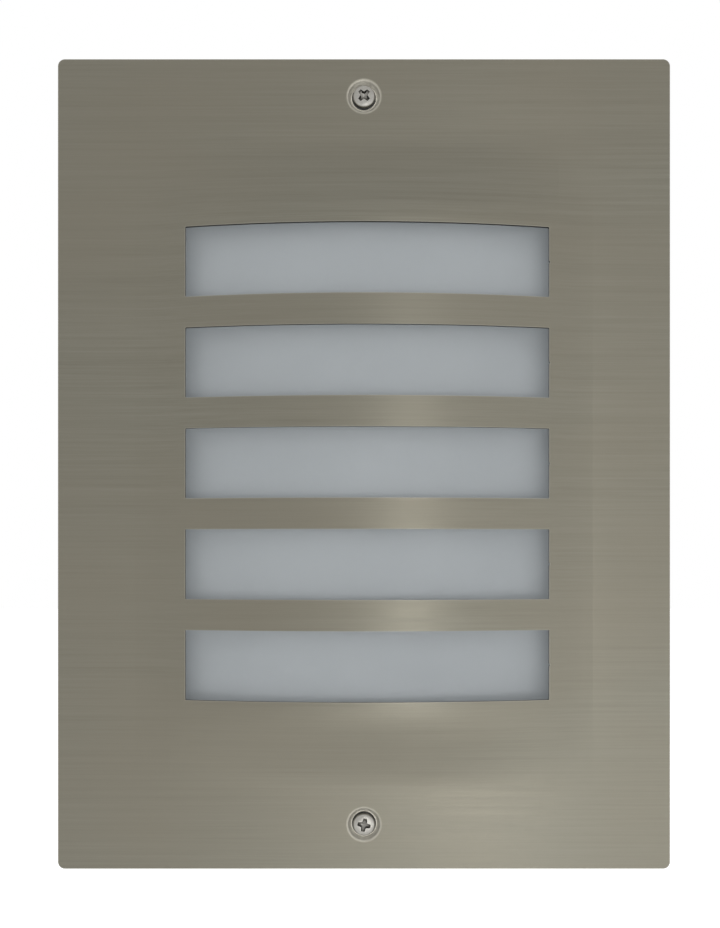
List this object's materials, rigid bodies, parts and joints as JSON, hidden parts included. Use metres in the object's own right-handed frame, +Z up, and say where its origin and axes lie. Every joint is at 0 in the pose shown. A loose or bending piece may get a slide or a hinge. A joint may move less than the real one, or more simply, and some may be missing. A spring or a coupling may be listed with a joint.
{
  "type": "step light",
  "caption": "Recessed outdoor step light: crowned stainless plate with horizontal slots over an opal diffuser, on a cast wall box with reflector, lampholder and lamp.",
  "frame": {"origin": "middle of the fascia on the plane of the finished wall face, which is the rear face of the wall gasket", "axes": "+Z up, +Y into the wall, so the fascia faces -Y, and +X to the right as seen from in front"},
  "size_m": [0.22, 0.1032, 0.3027],
  "materials": {
    "stainless": "horizontally brushed stainless steel",
    "foam": "closed-cell foam strip",
    "opal": "opal polycarbonate, satin",
    "bright_steel": "mill finish",
    "fixings": "zinc plated",
    "screw_steel": "polished stainless",
    "black_rubber": "moulded",
    "cast_box": "die cast, fine textured dark grey coat",
    "brass": "turned",
    "white_tray": "pressed sheet, white coat",
    "porcelain": "glazed",
    "nickel_brass": "nickel plated",
    "terminal_plastic": "moulded",
    "tinned": "tinned",
    "lead_brown": "smooth insulation",
    "lead_blue": "smooth insulation",
    "lead_green": "green insulation with a yellow stripe",
    "gland_plastic": "moulded nylon",
    "black_glass": "fused insulator",
    "white_plastic": "moulded",
    "aluminium_board": "coated board",
    "lamp_opal": "frosted opal"
  },
  "bodies": {
    "housing": {"recess_box": "cast_box", "pillar_inserts": "brass", "reflector_tray": "white_tray", "tray_screws": "fixings", "lampholder_body": "porcelain", "lampholder_shell": "nickel_brass", "lampholder_contact": "nickel_brass", "lampholder_bracket": "bright_steel", "bracket_screws": "fixings", "holder_screws": "fixings", "terminal_block": "terminal_plastic", "terminal_sleeves": "brass", "terminal_screws": "fixings", "terminal_fixings": "fixings", "earth_lug": "tinned", "earth_washer": "fixings", "earth_screw": "brass", "live_lead": "lead_brown", "neutral_lead": "lead_blue", "earth_lead": "lead_green", "gland_washer": "black_rubber", "gland_body": "gland_plastic", "gland_locknut": "gland_plastic", "gland_seal": "black_rubber", "gland_dome_nut": "gland_plastic", "plug_washer": "black_rubber", "entry_plug": "gland_plastic", "plug_nut": "gland_plastic"},
    "fascia": {"face_plate": "stainless", "wall_gasket": "foam", "rim_gasket": "foam", "diffuser": "opal", "diffuser_gasket": "foam", "retaining_frame": "bright_steel", "frame_studs": "fixings", "frame_washers": "fixings", "frame_nuts": "fixings"},
    "upper_washer": {"seal_washer_upper": "black_rubber"},
    "lower_washer": {"seal_washer_lower": "black_rubber"},
    "upper_screw": {"screw_upper": "screw_steel"},
    "lower_screw": {"screw_lower": "screw_steel"},
    "lamp": {"lamp_cap": "nickel_brass", "lamp_insulator": "black_glass", "lamp_contact": "tinned", "lamp_collar": "white_plastic", "lamp_board": "aluminium_board", "lamp_globe": "lamp_opal"}
  },
  "joints": [
    {"name": "fascia_pull", "type": "slide", "parent": "housing", "child": "fascia", "axis": [0, -1, 0], "range_m": [0, 0.12]},
    {"name": "upper_screw_travel", "type": "slide", "parent": "fascia", "child": "upper_washer", "axis": [0, -1, 0], "range_m": [0, 0.0103]},
    {"name": "upper_screw_turn", "type": "hinge", "parent": "upper_washer", "child": "upper_screw", "pos_m": [0, 0, 0.1322], "axis": [0, -1, 0], "range_deg": [0, 5301]},
    {"name": "lower_screw_travel", "type": "slide", "parent": "fascia", "child": "lower_washer", "axis": [0, -1, 0], "range_m": [0, 0.0103]},
    {"name": "lower_screw_turn", "type": "hinge", "parent": "lower_washer", "child": "lower_screw", "pos_m": [0, 0, -0.1296], "axis": [0, -1, 0], "range_deg": [0, 5301]},
    {"name": "lamp_withdraw", "type": "slide", "parent": "housing", "child": "lamp", "axis": [0, 0, 1], "range_m": [0, 0.03]}
  ],
  "couplings": [
    {"joint": "upper_screw_turn", "follows": "upper_screw_travel", "rad_per_m": 8976},
    {"joint": "lower_screw_turn", "follows": "lower_screw_travel", "rad_per_m": 8976}
  ]
}
